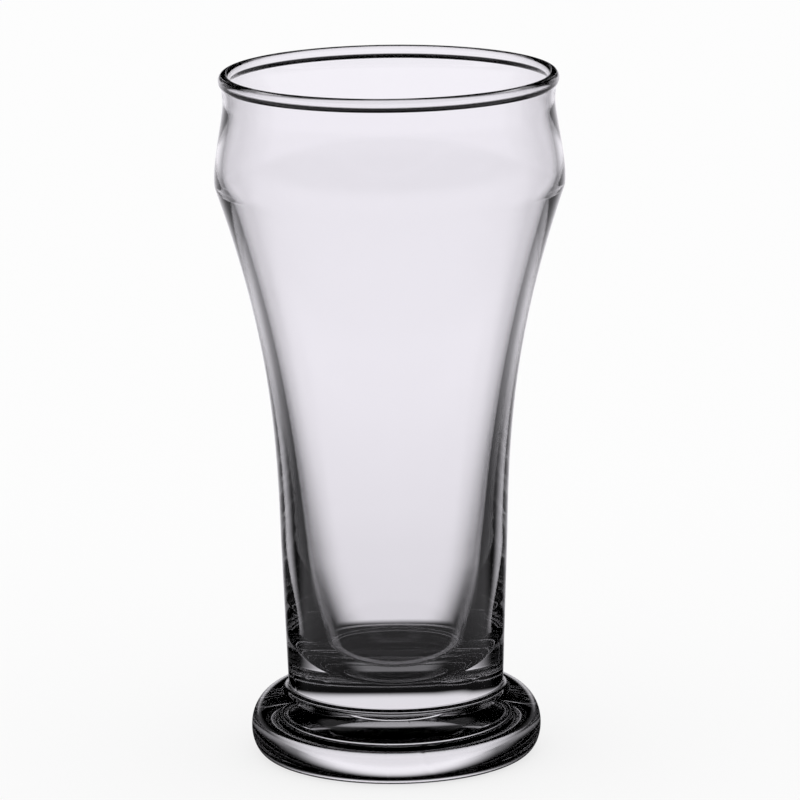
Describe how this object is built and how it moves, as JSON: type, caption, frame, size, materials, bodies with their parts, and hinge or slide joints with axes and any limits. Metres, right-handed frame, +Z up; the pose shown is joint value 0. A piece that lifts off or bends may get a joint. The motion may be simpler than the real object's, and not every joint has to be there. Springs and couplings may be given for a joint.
{
  "type": "footed beer glass",
  "caption": "Clear heavy footed beer glass with a rounded lip, a bulge below the rim, a flaring taper, a thick solid bottom and a bun-shaped foot.",
  "frame": {"origin": "centre of the circle that the foot stands on, on the axis of revolution", "axes": "+Z up along the axis of revolution, from the foot to the rim; X and Y lie in the plane that the glass stands on and are interchangeable"},
  "size_m": [0.0892, 0.0892, 0.1775],
  "materials": {
    "glass": "gloss"
  },
  "bodies": {
    "root": {"rim_bead": "glass", "bulge": "glass", "tapered_wall": "glass", "sham": "glass", "foot": "glass"}
  },
  "joints": []
}
